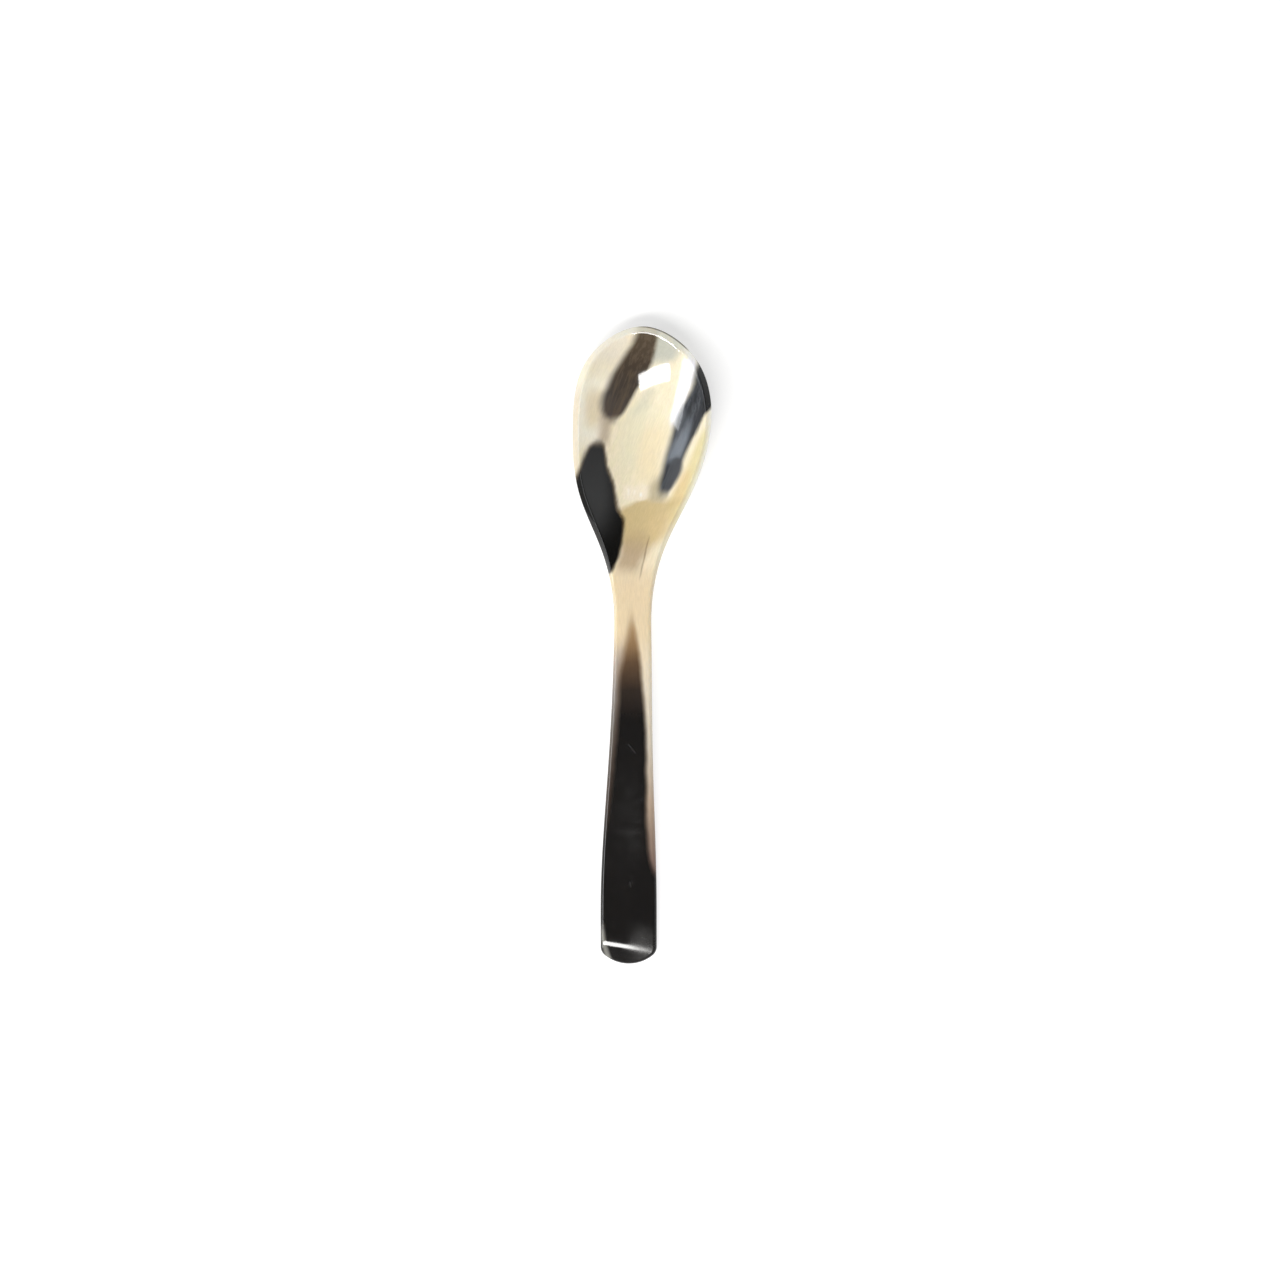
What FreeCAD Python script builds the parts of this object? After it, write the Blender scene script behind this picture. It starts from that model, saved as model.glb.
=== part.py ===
import FreeCAD, Part
import math
import os

from FreeCAD import Vector

# Horn serving spoon, one piece of polished cattle horn: a plate sawn from the wall of the
# horn, pressed hot into a shallow bowl with an arched handle, then ground and polished.
# Millimetres, +Z up. The spoon lies on its bowl and its handle end with the bowl facing up
# and the tip towards +Y. The origin is under the middle of its box, on the resting plane.

# Lengths along the spoon
overall_length = 220.0
tip_width_from_tip = 2.9
front_from_tip = 14.6
bowl_widest_from_tip = 33.0
flank_from_tip = 58.5
shoulder_from_tip = 77.0
throat_from_tip = 94.7
neck_from_tip = 110.0
handle_taper_from_end = 22.5

# Widths of the outline seen from above, before its lower corner is taken off
tip_width = 21.0
front_width = 42.1
bowl_width = 48.4
flank_width = 38.7
shoulder_width = 22.1
throat_width = 13.6
neck_width = 13.0
handle_middle_width = 15.2
handle_end_width = 19.4

# The hand-cut outline leans sideways from the middle of the bowl
tip_shift = 0.7
flank_shift = -2.4
neck_shift = -3.2
handle_middle_shift = -3.85
handle_end_shift = -4.6

# Thickness of the plate
bowl_thickness = 2.8
handle_thickness = 4.3

# The formed shape of the upper face along its middle: rises above the floor of the bowl,
# heights above the resting plane, and how far up the handle its middle station is
bowl_depth = 8.8
bowl_deepest_from_tip = 36.0
front_rise = 2.4
front_rise_from_tip = 17.0
flank_rise = 2.9
shoulder_rise = 7.2
neck_height = 13.2
handle_middle_height = 10.9
handle_middle_share = 0.6545
handle_end_rise = 0.45

# The handle is slightly crowned across its width, as the wall of the horn is
handle_crown_radius = 110.0

# The rim of the bowl is ground to a sloping band that faces up and out
rim_band = 2.3

# The handle end: rounded corners, and an upper side that turns down to a thin nose
end_corner_radius = 4.0
end_arc_radius = 13.0
nose_length = 5.6
nose_angle = 22.0
nose_skew = 10.0
nose_bend_length = 2.0
nose_run_out = 8.5

# Taking off the lower corner shortens the tip by this much
tip_loss = 0.5

# Softened edges: the upper edge is rounded and the lower one has its corner taken off
rim_inner_radius = 0.45
handle_upper_radius = 1.4
lower_edge_chamfer = 0.5

# Sampling of the formed surfaces and of the ground edge
rows_along = 26
rows_at_nose = 14
columns_across = 12
samples_per_span = 4
surface_margin = 8.0
edge_overrun = 0.7
slope_step = 0.01
least_own_side = 0.8
most_other_side = 0.6
measuring_step = 0.02
inside_margin = 0.01

tip_y = overall_length / 2
end_y = -overall_length / 2
end_arc_y = end_y + end_arc_radius
corner_x = handle_end_width / 2 - end_corner_radius
corner_y = end_arc_y - math.sqrt((end_arc_radius - end_corner_radius) ** 2 - corner_x ** 2)
neck_y = tip_y - neck_from_tip
handle_middle_y = end_y + (neck_y - end_y) * handle_middle_share
shoulder_y = tip_y - shoulder_from_tip
flank_y = tip_y - flank_from_tip
widest_y = tip_y - bowl_widest_from_tip
deepest_y = tip_y - bowl_deepest_from_tip


def profile_through(stations):
    """A smooth value along Y through (y, value) stations, lowest y first."""
    curve = Part.BSplineCurve()
    points = [Vector(y, value, 0) for y, value in stations]
    curve.interpolate(Points=points, Parameters=[y for y, value in stations])
    return lambda y: curve.value(y).y


def eased(start_y, start_value, stop_y, stop_value, y):
    """One value up to start_y and another from stop_y, with a soft change between them."""
    share = min(max((y - start_y) / (stop_y - start_y), 0.0), 1.0)
    share = share * share * (3 - 2 * share)
    return start_value + (stop_value - start_value) * share


# Height of the upper face along the middle of the spoon
keel = profile_through((
    (end_y, handle_thickness + handle_end_rise),
    (handle_middle_y, handle_middle_height),
    (neck_y, neck_height),
    (shoulder_y, bowl_thickness + shoulder_rise),
    (flank_y, bowl_thickness + flank_rise),
    (deepest_y, bowl_thickness),
    (tip_y - front_rise_from_tip, bowl_thickness + front_rise),
    (tip_y - rim_band, bowl_thickness + bowl_depth),
))


def middle_line(y):
    """Sideways place of the middle of the formed shape."""
    return eased(end_y, handle_end_shift, neck_y, neck_shift, y) - eased(neck_y, 0.0, widest_y, neck_shift, y)


def cross_bend(y):
    """Half the curvature across the spoon: hollow in the bowl, crowned on the handle."""
    crown = -0.5 / handle_crown_radius
    hollow = bowl_depth / (bowl_width / 2 - rim_band) ** 2
    return eased(neck_y, crown, flank_y, hollow, y)


def thickness(y):
    return eased(neck_y, handle_thickness, flank_y, bowl_thickness, y)


def formed_height(x, y):
    """Height of the upper face as pressed."""
    sideways = x - middle_line(y)
    return keel(y) + cross_bend(y) * sideways * sideways


def formed_normal(x, y):
    rise_x = formed_height(x + slope_step, y) - formed_height(x - slope_step, y)
    rise_y = formed_height(x, y + slope_step) - formed_height(x, y - slope_step)
    return Vector(-rise_x, -rise_y, 2 * slope_step).normalize()


def soft_ramp(distance):
    """Zero before the bend of the nose and the distance itself after it, with a soft turn."""
    return (distance + math.hypot(distance, nose_bend_length)) / 2


def upper_point(x, y):
    """A point of the upper face, with the nose ground down past its skewed bend."""
    sideways = (x - handle_end_shift) * math.tan(math.radians(nose_skew))
    past_bend = end_y + nose_length - sideways - y
    ground = soft_ramp(past_bend) - soft_ramp(past_bend - nose_run_out)
    return Vector(x, y, formed_height(x, y) - ground * math.tan(math.radians(nose_angle)))


def lower_point(x, y):
    """A point of the lower face, a plate thickness square under the formed upper face."""
    return Vector(x, y, formed_height(x, y)) - formed_normal(x, y) * thickness(y)


def formed_surface(point_at):
    """A smooth face through a net of points that is closer at the nose."""
    low_y = end_y - surface_margin
    nose_y = end_y + 2 * nose_length
    high_y = tip_y + surface_margin
    nose_rows = [low_y + (nose_y - low_y) * row / rows_at_nose for row in range(rows_at_nose)]
    long_rows = [nose_y + (high_y - nose_y) * row / rows_along for row in range(rows_along + 1)]
    shares = [2 * column / columns_across - 1 for column in range(columns_across + 1)]
    net = []
    for y in nose_rows + long_rows:
        half = eased(neck_y, handle_end_width / 2, flank_y, bowl_width / 2, y) + surface_margin
        net.append([point_at(middle_line(y) + half * share, y) for share in shares])
    surface = Part.BSplineSurface()
    surface.interpolate(net)
    return surface.toShape()


def pressed_plate():
    """The whole pressed plate, still larger all round than the spoon."""
    upper = formed_surface(upper_point)
    lower = formed_surface(lower_point)
    sides = [Part.makeRuledSurface(above, below) for above, below in zip(upper.Edges, lower.Edges)]
    shell = Part.makeShell([upper, lower] + sides)
    shell.sewShape()
    return Part.Solid(shell)


def outline_stations():
    """(y, half width, sideways shift) from the handle end up to the front of the bowl."""
    return (
        (corner_y, handle_end_width / 2, handle_end_shift),
        (end_y + handle_taper_from_end, handle_end_width / 2, handle_end_shift),
        (handle_middle_y, handle_middle_width / 2, handle_middle_shift),
        (neck_y, neck_width / 2, neck_shift),
        (tip_y - throat_from_tip, throat_width / 2, neck_shift),
        (shoulder_y, shoulder_width / 2, neck_shift),
        (flank_y, flank_width / 2, flank_shift),
        (widest_y, bowl_width / 2, 0.0),
        (tip_y - front_from_tip, front_width / 2, 0.0),
        (tip_y - tip_width_from_tip, tip_width / 2, 0.0),
    )


def band_width(y):
    """Width of the ground rim band: full round the bowl, none along the handle."""
    return eased(neck_y, 0.0, flank_y, rim_band, y)


def plan_curve(inset):
    """Plan curve of both sides and the tip, 0 for the outer edge and 1 inside the rim band."""
    left = []
    right = []
    for y, half, shift in outline_stations():
        half -= band_width(y) * inset
        left.append(Vector(shift - half, y, 0))
        right.append(Vector(shift + half, y, 0))
    tip = Vector(tip_shift, tip_y + tip_loss - band_width(tip_y) * inset, 0)
    points = left + [tip] + right[::-1]
    marks = [0.0]
    for before, after in zip(points, points[1:]):
        marks.append(marks[-1] + before.distanceToPoint(after))
    curve = Part.BSplineCurve()
    along = Vector(0, 1, 0)
    curve.interpolate(Points=points, Parameters=marks, InitialTangent=along, FinalTangent=-along)
    return curve, marks


def edge_wall_points(outer, inner):
    """Lower and upper point of the ground edge, run out past both faces of the plate."""
    upper = Vector(inner.x, inner.y, formed_height(inner.x, inner.y))
    drop = thickness(outer.y) / formed_normal(outer.x, outer.y).z
    lower = Vector(outer.x, outer.y, formed_height(outer.x, outer.y) - drop)
    overrun = (upper - lower) * edge_overrun
    return lower - overrun, upper + overrun


def end_arcs(right, left):
    """The rounded handle end between two side ends: a corner arc, the end arc and a corner arc."""
    edges = []
    touches = []
    for side in (right, left):
        across = math.copysign(corner_x, side.x - handle_end_shift)
        centre = Vector(handle_end_shift + across, corner_y, side.z)
        outward = Vector(across, corner_y - end_arc_y, 0).normalize()
        touch = centre + outward * end_corner_radius
        halfway = (outward + Vector(math.copysign(1, across), 0, 0)).normalize()
        edges.append(Part.Arc(side, centre + halfway * end_corner_radius, touch).toShape())
        touches.append(touch)
    bottom = Vector(handle_end_shift, end_y, (right.z + left.z) / 2)
    return [edges[0], Part.Arc(touches[0], bottom, touches[1]).toShape(), edges[1]]


def ground_edge():
    """The ribbon that cuts the outline of the spoon out of the plate."""
    outer_curve, outer_marks = plan_curve(0)
    inner_curve, inner_marks = plan_curve(1)
    last = len(outer_marks) - 1
    lows = []
    highs = []
    places = []
    for step in range(last * samples_per_span + 1):
        span = min(step // samples_per_span, last - 1)
        share = step / samples_per_span - span
        place = outer_marks[span] + (outer_marks[span + 1] - outer_marks[span]) * share
        inner_place = inner_marks[span] + (inner_marks[span + 1] - inner_marks[span]) * share
        low, high = edge_wall_points(outer_curve.value(place), inner_curve.value(inner_place))
        lows.append(low)
        highs.append(high)
        places.append(place)
    left_cuts = [i for i, station in enumerate(outline_stations()) if station[0] in (neck_y, shoulder_y)]
    cuts = [0] + left_cuts + [last - i for i in reversed(left_cuts)] + [last]
    rise = formed_height(handle_end_shift, corner_y + slope_step) - formed_height(handle_end_shift, corner_y)
    along = Vector(0, slope_step, rise).normalize()
    wires = []
    for points in (lows, highs):
        curve = Part.BSplineCurve()
        curve.interpolate(Points=points, Parameters=places, InitialTangent=along, FinalTangent=-along)
        edges = []
        for start, stop in zip(cuts, cuts[1:]):
            part_of_side = curve.copy()
            part_of_side.segment(outer_marks[start], outer_marks[stop])
            edges.append(part_of_side.toShape())
        wires.append(Part.Wire(edges + end_arcs(points[-1], points[0])))
    return Part.makeLoft(wires, False, True)


def cut_outline(plate):
    """The piece of the plate inside the ground edge."""
    pieces = plate.generalFuse([ground_edge()])[0]
    inside = Vector(neck_shift, neck_y, neck_height - handle_thickness / 2)
    return [piece for piece in pieces.Solids if piece.isInside(inside, inside_margin, True)][0]


def size_along(y, bowl_size, handle_size):
    """Size of a softened edge at a place: it changes between the neck and the shoulder."""
    return eased(neck_y, handle_size, shoulder_y, bowl_size, y)


def facing(face, spot, plate_normal):
    """1 where a face looks along the upper face of the plate, -1 where it looks away."""
    u, v = face.Surface.parameter(spot)
    return face.normalAt(u, v).dot(plate_normal)


def soften_edges(spoon, side, feature, bowl_size, handle_size):
    """Softens the whole edge of one side, 1 for upper and -1 for lower, by a rounding or a chamfer."""
    rows = []
    for number, edge in enumerate(spoon.Edges, 1):
        spot = edge.valueAt((edge.FirstParameter + edge.LastParameter) / 2)
        normal = formed_normal(spot.x, spot.y)
        looks = [facing(face, spot, normal) * side for face in spoon.ancestorsOfType(edge, Part.Face)]
        if max(looks) > least_own_side and min(looks) < most_other_side:
            ends = [edge.valueAt(edge.FirstParameter).y, edge.valueAt(edge.LastParameter).y]
            if edge.Orientation == "Reversed":
                ends.reverse()
            sizes = [size_along(y, bowl_size, handle_size) for y in ends]
            rows.append((number, sizes[0], sizes[1]))
    document = FreeCAD.newDocument("spoon")
    before = document.addObject("Part::Feature", "Before")
    before.Shape = spoon
    after = document.addObject(feature, "After")
    after.Base = before
    after.Edges = rows
    document.recompute()
    softened = after.Shape.copy()
    FreeCAD.closeDocument(document.Name)
    return softened.Solids[0]


def set_down(spoon):
    """Moves the spoon so that the origin is under the middle of its box."""
    points = spoon.tessellate(measuring_step)[0]
    box = FreeCAD.BoundBox()
    for point in points:
        box.add(point)
    moved = spoon.copy(True, False)
    moved.translate(Vector(-box.Center.x, -box.Center.y, -box.ZMin))
    return moved


def horn_spoon():
    spoon = cut_outline(pressed_plate())
    spoon = soften_edges(spoon, 1, "Part::Fillet", rim_inner_radius, handle_upper_radius)
    spoon = soften_edges(spoon, -1, "Part::Chamfer", lower_edge_chamfer, lower_edge_chamfer)
    return set_down(spoon)


os.makedirs("parts", exist_ok=True)
horn_spoon().exportStep("parts/spoon.step")
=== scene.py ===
import math

import bmesh
import bpy
import numpy as np
from mathutils import Matrix, Vector


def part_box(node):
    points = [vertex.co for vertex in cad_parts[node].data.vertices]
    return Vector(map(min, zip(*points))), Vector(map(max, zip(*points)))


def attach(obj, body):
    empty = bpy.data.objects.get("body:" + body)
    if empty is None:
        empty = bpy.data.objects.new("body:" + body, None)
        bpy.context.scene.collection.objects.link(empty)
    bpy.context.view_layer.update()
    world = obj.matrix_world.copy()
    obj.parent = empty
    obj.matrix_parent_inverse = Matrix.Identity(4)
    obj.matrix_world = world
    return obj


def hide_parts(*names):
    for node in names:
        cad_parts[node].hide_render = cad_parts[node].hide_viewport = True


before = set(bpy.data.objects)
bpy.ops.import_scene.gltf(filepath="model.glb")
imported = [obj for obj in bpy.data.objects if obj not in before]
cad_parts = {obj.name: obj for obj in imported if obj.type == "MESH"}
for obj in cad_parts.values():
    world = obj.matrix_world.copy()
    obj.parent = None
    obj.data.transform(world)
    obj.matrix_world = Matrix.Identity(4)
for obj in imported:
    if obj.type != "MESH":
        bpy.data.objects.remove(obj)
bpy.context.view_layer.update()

# Main sizes of the spoon in millimetres, as in the solid
LENGTH = 220.0
TIP_Y = 110.0
END_Y = -110.0
NECK_Y = 0.0
SHOULDER_Y = 33.0
FLANK_Y = 51.5
WIDEST_Y = 77.0
DEEPEST_Y = 74.0
HANDLE_MIDDLE_Y = END_Y + 72.0
FRONT_RISE_Y = TIP_Y - 17.0
BOWL_THICKNESS = 2.8
HANDLE_THICKNESS = 4.3
BOWL_DEPTH = 8.8
BOWL_WIDTH = 48.4
RIM_BAND = 2.3
NECK_SHIFT = -3.2
END_SHIFT = -4.6
END_HALF_WIDTH = 9.7
CORNER_RADIUS = 4.0
END_ARC_RADIUS = 13.0
TIP_SHIFT = 0.7
TIP_LOSS = 0.5
HANDLE_CROWN_RADIUS = 110.0
HANDLE_UPPER_RADIUS = 1.4
RIM_INNER_RADIUS = 0.45
LOWER_EDGE = 0.55

# The nose ground down at the handle end
NOSE_FROM_END = 5.6
NOSE_LENGTH = 8.5
NOSE_SOFTNESS = 2.0
NOSE_SKEW = math.radians(10.0)
NOSE_SLOPE = math.radians(22.0)

# The small facet on the inner corner of the rim, round the tip only
RIM_FACET_WIDTH = 0.5
RIM_FACET_INSET = 0.3
RIM_FACET_SLOPE = math.radians(16.0)
# Y part of the inward direction where the facet begins and where it is whole
FACET_TURN = (0.05, -0.35)

# The photograph: a square frame seen from straight above, the length of the spoon over 640 pixels
MM = 0.001
IMAGE_SIDE = 1280
LENGTH_PIXELS = 640.0
MM_PER_PIXEL = LENGTH / LENGTH_PIXELS
PHOTO_AXIS_X = 642.0
PHOTO_END_Y = 966.0


def photo_x(pixel):
    """Millimetres along X for a pixel column of the photograph."""
    return (pixel - PHOTO_AXIS_X) * MM_PER_PIXEL


def photo_y(pixel):
    """Millimetres along Y for a pixel row of the photograph."""
    return (PHOTO_END_Y - pixel) * MM_PER_PIXEL + END_Y


# Camera, straight above with a long lens
CAMERA_HEIGHT = 1.4
RIM_HEIGHT = 0.012
SENSOR_WIDTH = 36.0
CLIP_START = 0.05
CLIP_END = 20.0
FRAME_WIDTH = IMAGE_SIDE * MM_PER_PIXEL * MM
camera_data = bpy.data.cameras.new("camera")
camera_data.sensor_width = SENSOR_WIDTH
camera_data.lens = SENSOR_WIDTH * (CAMERA_HEIGHT - RIM_HEIGHT) / FRAME_WIDTH
camera_data.clip_start = CLIP_START
camera_data.clip_end = CLIP_END
camera = bpy.data.objects.new("camera", camera_data)
camera.location = (photo_x(IMAGE_SIDE / 2) * MM, photo_y(IMAGE_SIDE / 2) * MM, CAMERA_HEIGHT)
bpy.context.scene.collection.objects.link(camera)
bpy.context.scene.camera = camera


# Form of the spoon, by the same rules as the solid, in millimetres
def spline(marks, values, start_slope, end_slope):
    """A cubic spline through values at marks with given end slopes, as a function of the mark."""
    marks = np.asarray(marks, float)
    values = np.asarray(values, float)
    count = len(marks)
    steps = np.diff(marks)
    rises = (np.diff(values, axis=0).T / steps).T
    matrix = np.zeros((count, count))
    right = np.zeros(values.shape)
    matrix[0, 0] = 1.0
    matrix[-1, -1] = 1.0
    right[0] = start_slope
    right[-1] = end_slope
    for i in range(1, count - 1):
        matrix[i, i - 1] = steps[i]
        matrix[i, i] = 2 * (steps[i - 1] + steps[i])
        matrix[i, i + 1] = steps[i - 1]
        right[i] = 3 * (rises[i - 1] * steps[i] + rises[i] * steps[i - 1])
    slopes = np.linalg.solve(matrix, right)

    def value(at):
        at = np.asarray(at, float)
        span = np.clip(np.searchsorted(marks, at) - 1, 0, count - 2)
        width = steps[span]
        share = (at - marks[span]) / width
        shape = share.shape + (1,) * (values.ndim - 1)
        share = share.reshape(shape)
        width = width.reshape(shape)
        keep = (1 + 2 * share) * (1 - share) ** 2
        lead = share * (1 - share) ** 2 * width
        come = share ** 2 * (3 - 2 * share)
        tail = share ** 2 * (share - 1) * width
        return values[span] * keep + slopes[span] * lead + values[span + 1] * come + slopes[span + 1] * tail

    return value


def end_slope_of(marks, values):
    """Slope at the first mark of the cubic through the first four points."""
    cubic = np.polyfit(np.asarray(marks[:4]) - marks[0], values[:4], 3)
    return cubic[2]


def eased(start_y, start_value, stop_y, stop_value, y):
    """A value that eases from one to another between two stations."""
    share = np.clip((y - start_y) / (stop_y - start_y), 0.0, 1.0)
    share = share * share * (3 - 2 * share)
    return start_value + (stop_value - start_value) * share


# The keel: height of the upper face along the middle line
KEEL_Y = [END_Y, HANDLE_MIDDLE_Y, NECK_Y, SHOULDER_Y, FLANK_Y, DEEPEST_Y, FRONT_RISE_Y, TIP_Y - RIM_BAND]
KEEL_Z = [4.75, 10.9, 13.2, 10.0, 5.7, 2.8, 5.2, 11.6]
keel = spline(KEEL_Y, KEEL_Z, end_slope_of(KEEL_Y, KEEL_Z), end_slope_of(KEEL_Y[::-1], KEEL_Z[::-1]))

# Steps in millimetres over which slopes are taken, and turns of the search for the foot of a thickness
SLOPE_STEP = 0.01
FOOT_TURNS = 4


def middle_line(y):
    """Sideways place of the middle line."""
    return eased(END_Y, END_SHIFT, NECK_Y, NECK_SHIFT, y) - eased(NECK_Y, 0.0, WIDEST_Y, NECK_SHIFT, y)


def thickness(y):
    """Thickness of the plate."""
    return eased(NECK_Y, HANDLE_THICKNESS, FLANK_Y, BOWL_THICKNESS, y)


def formed_height(x, y):
    """Height of the upper face of the pressed plate: crowned along the handle, hollow in the bowl."""
    crown = -0.5 / HANDLE_CROWN_RADIUS
    hollow = BOWL_DEPTH / (BOWL_WIDTH / 2 - RIM_BAND) ** 2
    return keel(y) + eased(NECK_Y, crown, FLANK_Y, hollow, y) * (x - middle_line(y)) ** 2


def soft_ramp(distance):
    """Nothing before zero and the distance itself after it, with a soft bend between."""
    return (distance + np.hypot(distance, NOSE_SOFTNESS)) / 2


def upper_height(x, y):
    """Height of the upper face, with the nose ground down at the handle end."""
    past_bend = END_Y + NOSE_FROM_END - (x - END_SHIFT) * math.tan(NOSE_SKEW) - y
    ground = soft_ramp(past_bend) - soft_ramp(past_bend - NOSE_LENGTH)
    return formed_height(x, y) - ground * math.tan(NOSE_SLOPE)


def lower_height(x, y):
    """Height of the lower face, one plate thickness square under the formed face."""
    foot_x = np.array(x, float)
    foot_y = np.array(y, float)
    step = SLOPE_STEP
    for turn in range(FOOT_TURNS):
        slope_x = (formed_height(foot_x + step, foot_y) - formed_height(foot_x - step, foot_y)) / (2 * step)
        slope_y = (formed_height(foot_x, foot_y + step) - formed_height(foot_x, foot_y - step)) / (2 * step)
        reach = thickness(foot_y) / np.sqrt(1 + slope_x ** 2 + slope_y ** 2)
        foot_x = foot_x + (x - (foot_x + slope_x * reach))
        foot_y = foot_y + (y - (foot_y + slope_y * reach))
    return formed_height(foot_x, foot_y) - reach


# Outline seen from above: y, half width and sideways shift of each station
CORNER_X = END_HALF_WIDTH - CORNER_RADIUS
END_ARC_Y = END_Y + END_ARC_RADIUS
CORNER_Y = END_ARC_Y - math.sqrt((END_ARC_RADIUS - CORNER_RADIUS) ** 2 - CORNER_X ** 2)
STATIONS = (
    (CORNER_Y, END_HALF_WIDTH, END_SHIFT),
    (END_Y + 22.5, END_HALF_WIDTH, END_SHIFT),
    (HANDLE_MIDDLE_Y, 7.6, -3.85),
    (NECK_Y, 6.5, NECK_SHIFT),
    (TIP_Y - 94.7, 6.8, NECK_SHIFT),
    (SHOULDER_Y, 11.05, NECK_SHIFT),
    (FLANK_Y, 19.35, -2.4),
    (WIDEST_Y, BOWL_WIDTH / 2, 0.0),
    (TIP_Y - 14.6, 21.05, 0.0),
    (TIP_Y - 2.9, 10.5, 0.0),
)

# Where the mesh has its rows and places: close at the handle end and round the tip
END_ROWS_TO = -98.0
END_ROW_STEP = 0.5
HANDLE_ROWS_TO = 20.0
HANDLE_ROW_STEP = 1.4
FRONT_HUB_Y = 84.0
BOWL_ROW_STEP = 0.8
TIP_PLACES = 150
END_PLACES = 34
OUTLINE_SAMPLES = 6001
ARC_STEPS = 7
FACE_STEPS = 22
FACE_EASING = 1.15


def outline():
    """Function of the mark along the outline, right side up, round the tip and down the left side."""
    right = [(shift + half, y) for y, half, shift in STATIONS]
    left = [(shift - half, y) for y, half, shift in STATIONS]
    points = np.array(right + [(TIP_SHIFT, TIP_Y + TIP_LOSS)] + left[::-1])
    marks = np.concatenate([[0.0], np.cumsum(np.hypot(*np.diff(points, axis=0).T))])
    return spline(marks, points, (0.0, 1.0), (0.0, -1.0)), marks


def end_turns(side):
    """Points and inward directions round half of the handle end, from its middle to the side."""
    corner_turn = math.asin(CORNER_X / (END_ARC_RADIUS - CORNER_RADIUS))
    turns = np.linspace(0.0, math.pi / 2, END_PLACES, endpoint=False)
    outward = np.stack([side * np.sin(turns), -np.cos(turns)], 1)
    in_corner = (turns >= corner_turn)[:, None]
    centre = np.where(in_corner, [END_SHIFT + side * CORNER_X, CORNER_Y], [END_SHIFT, END_ARC_Y])
    radius = np.where(in_corner, CORNER_RADIUS, END_ARC_RADIUS)
    return centre + outward * radius, -outward


def ring_of_places():
    """Places all round the outline, their inward directions and the inner point that each row runs to."""
    curve, marks = outline()
    dense_marks = np.linspace(0.0, marks[-1], OUTLINE_SAMPLES)
    dense = curve(dense_marks)
    rows = np.concatenate([
        np.arange(CORNER_Y, END_ROWS_TO, END_ROW_STEP),
        np.arange(END_ROWS_TO, HANDLE_ROWS_TO, HANDLE_ROW_STEP),
        np.arange(HANDLE_ROWS_TO, FRONT_HUB_Y, BOWL_ROW_STEP),
    ])
    top = int(dense[:, 1].argmax())
    right_marks = np.interp(rows, dense[:top, 1], dense_marks[:top])
    left_marks = np.interp(rows, dense[:top:-1, 1], dense_marks[:top:-1])
    tip_marks = np.linspace(right_marks[-1], left_marks[-1], TIP_PLACES)[1:-1]
    side_marks = np.concatenate([right_marks, tip_marks, left_marks[::-1]])
    places = curve(side_marks)
    after = curve(np.minimum(side_marks + SLOPE_STEP, marks[-1]))
    before = curve(np.maximum(side_marks - SLOPE_STEP, 0.0))
    ahead = unit(after - before)
    inward = np.stack([-ahead[:, 1], ahead[:, 0]], 1)
    hub_y = np.concatenate([rows, np.full(len(tip_marks), rows[-1]), rows[::-1]])
    right_end, right_in = end_turns(1)
    left_end, left_in = end_turns(-1)
    left_end = left_end[:0:-1]
    left_in = left_in[:0:-1]
    places = np.concatenate([right_end, places, left_end])
    inward = np.concatenate([right_in, inward, left_in])
    hub_y = np.concatenate([np.full(len(right_end), rows[0]), hub_y, np.full(len(left_end), rows[0])])
    hubs = np.stack([middle_line(hub_y), hub_y], 1)
    return places, inward, hubs


def unit(vectors):
    """Vectors brought to length one, row by row."""
    return vectors / np.linalg.norm(vectors, axis=1)[:, None]


def rounding(corner, to_wall, to_face, radius, facet):
    """Points of a softened corner in each section, from the wall to the face, as (sections, steps, 2).

    The heading turns evenly from the wall to the face, and runs straight for the facet at its slope.
    """
    wall_heading = np.arctan2(-to_wall[:, 1], -to_wall[:, 0])
    face_heading = np.arctan2(to_face[:, 1], to_face[:, 0])
    turn = (face_heading - wall_heading + math.pi) % (2 * math.pi) - math.pi
    points = [np.zeros_like(corner)]
    for step in range(ARC_STEPS):
        heading = wall_heading + turn * (step + 0.5) / ARC_STEPS
        near = np.abs(heading + RIM_FACET_SLOPE) < np.abs(turn) * 0.5 / ARC_STEPS
        length = radius * np.abs(turn) / ARC_STEPS + facet * near
        heading = np.where(near & (facet > 0), -RIM_FACET_SLOPE, heading)
        move = np.stack([np.cos(heading), np.sin(heading)], 1) * length[:, None]
        points.append(points[-1] + move)
    across = points[-1]
    area = -to_wall[:, 0] * to_face[:, 1] + to_wall[:, 1] * to_face[:, 0]
    along_wall = (across[:, 0] * to_face[:, 1] - across[:, 1] * to_face[:, 0]) / area
    start = corner + to_wall * along_wall[:, None]
    return np.stack([start + point for point in points], 1)


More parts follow.
